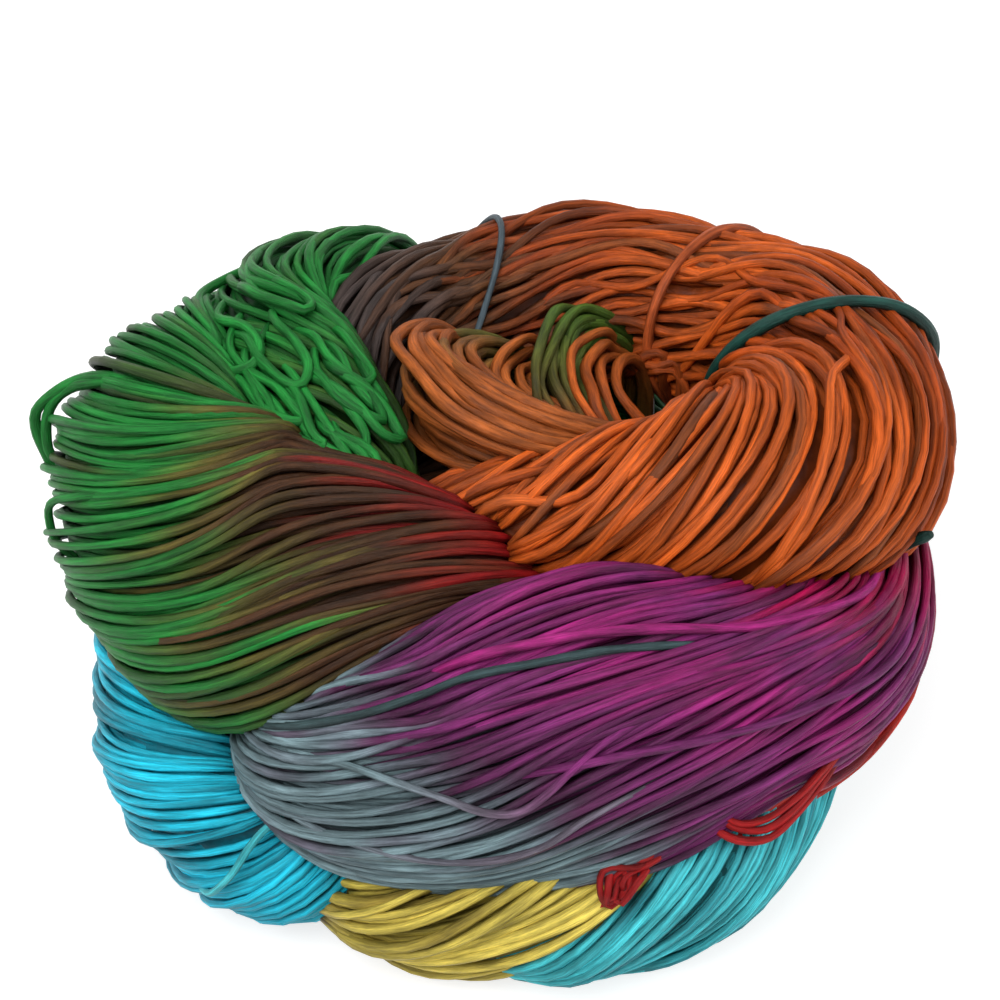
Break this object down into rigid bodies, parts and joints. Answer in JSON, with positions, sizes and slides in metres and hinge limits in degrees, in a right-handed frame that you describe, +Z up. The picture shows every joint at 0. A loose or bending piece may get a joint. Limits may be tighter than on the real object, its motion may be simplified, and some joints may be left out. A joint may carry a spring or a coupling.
{
  "type": "skein of silk yarn",
  "caption": "Thick-and-thin silk yarn wound into fat coils that cross over one another around a small open eye, dyed in bands of many colours and tied with short yarns.",
  "frame": {"origin": "on the surface that the skein rests on, under the middle of its footprint", "axes": "+X to the right along the skein's longest side, +Y towards its back, +Z up"},
  "size_m": [0.1466, 0.1226, 0.0847],
  "materials": {
    "silk_yarn": "softly shining silk, dyed orange, brown, green, red, plum, grey, blue and yellow",
    "tie_dark_green_yarn": "dark green silk yarn",
    "tie_rust_yarn": "rust silk yarn",
    "tie_grey_yarn": "blue grey silk yarn"
  },
  "bodies": {
    "root": {"skein": "silk_yarn", "tie_dark_green": "tie_dark_green_yarn", "tie_rust": "tie_rust_yarn", "tie_grey": "tie_grey_yarn"}
  },
  "joints": []
}
